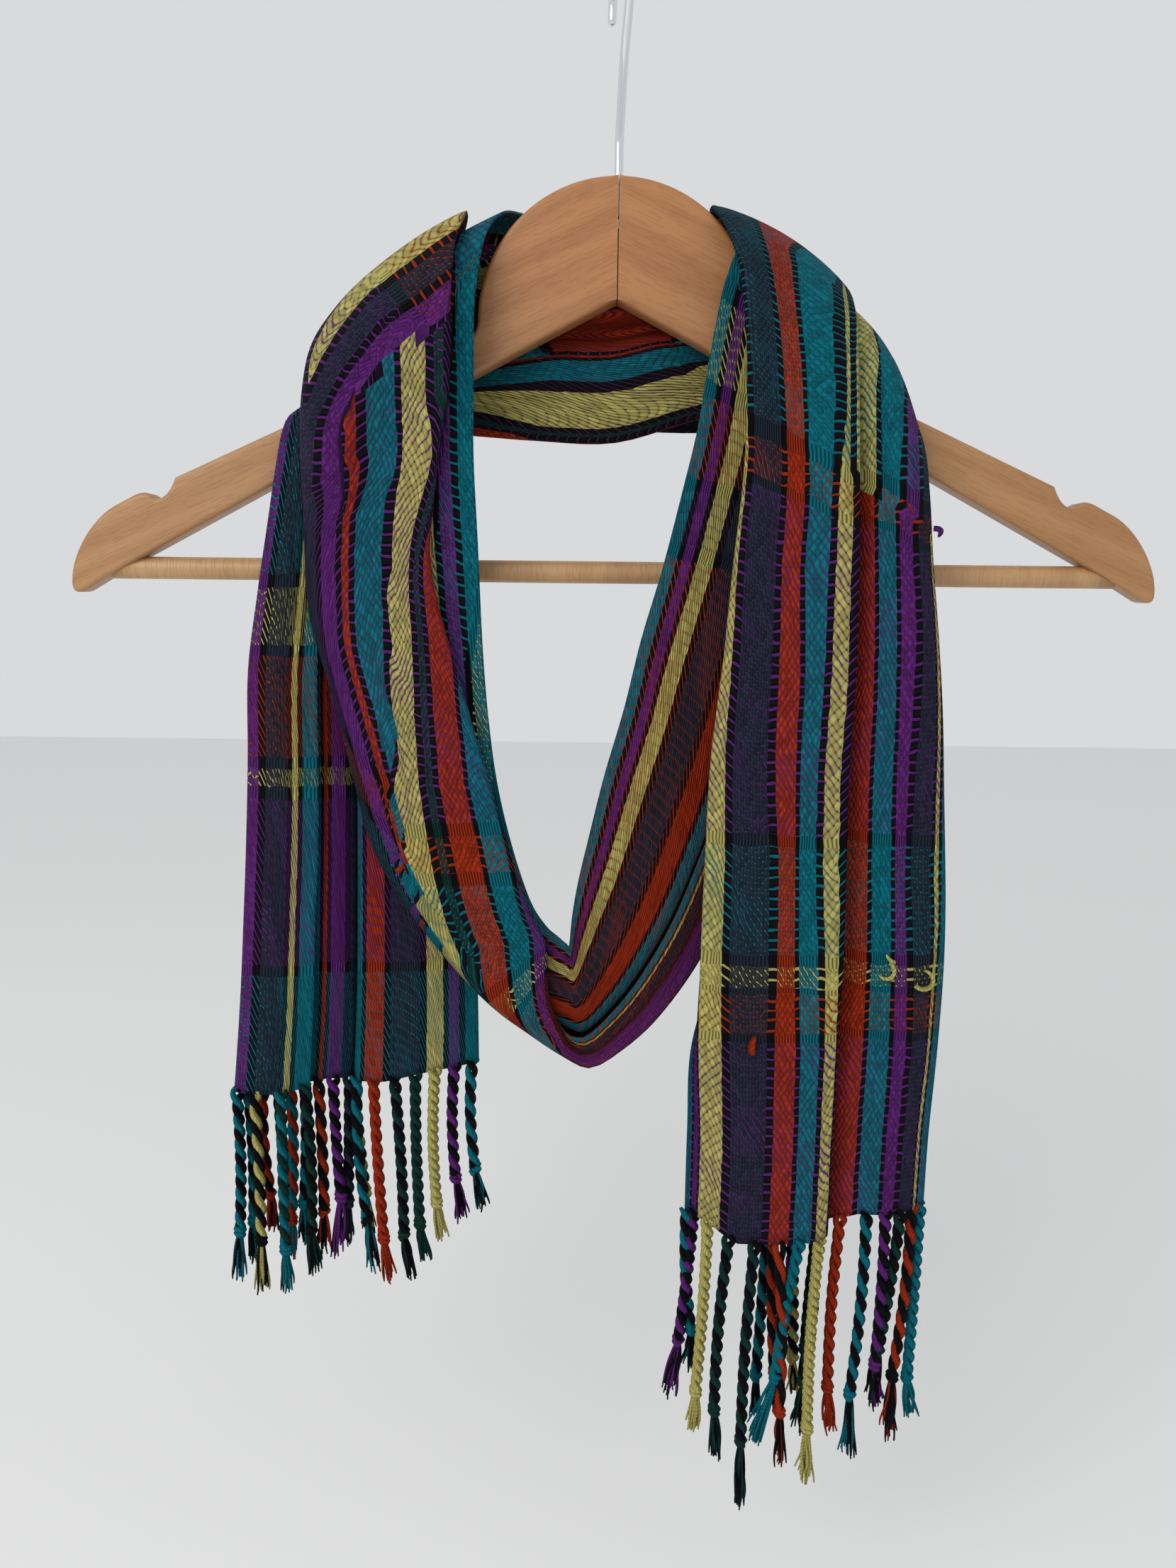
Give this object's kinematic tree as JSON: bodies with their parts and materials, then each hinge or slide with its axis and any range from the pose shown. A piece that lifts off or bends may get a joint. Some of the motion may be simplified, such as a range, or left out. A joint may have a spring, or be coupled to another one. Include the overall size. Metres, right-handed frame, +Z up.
{
  "type": "scarf on a hanger",
  "caption": "Striped handwoven scarf with a twisted fringe at each end, wound once round a wooden clothes hanger with a metal hook.",
  "frame": {"origin": "top of the hook's inside, where the hanger rests on a rail", "axes": "+Z up, -Y towards the front, where the scarf's tails hang, +X to the right as seen from the front"},
  "size_m": [0.441, 0.0778, 0.6362],
  "materials": {
    "cloth": "handwoven, striped, matt with a soft sheen",
    "fringe": "twisted two-ply yarn cords",
    "wood": "clear satin lacquer",
    "bar_wood": "clear satin lacquer",
    "chrome": "polished"
  },
  "bodies": {
    "root": {"tail_right": "cloth", "neck_outer": "cloth", "loop_left": "cloth", "loop_right": "cloth", "neck_inner": "cloth", "tail_left": "cloth", "fringe_right": "fringe", "fringe_left": "fringe", "hanger_left_arm": "wood", "hanger_right_arm": "wood", "hanger_bar": "bar_wood", "hanger_hook": "chrome"}
  },
  "joints": []
}
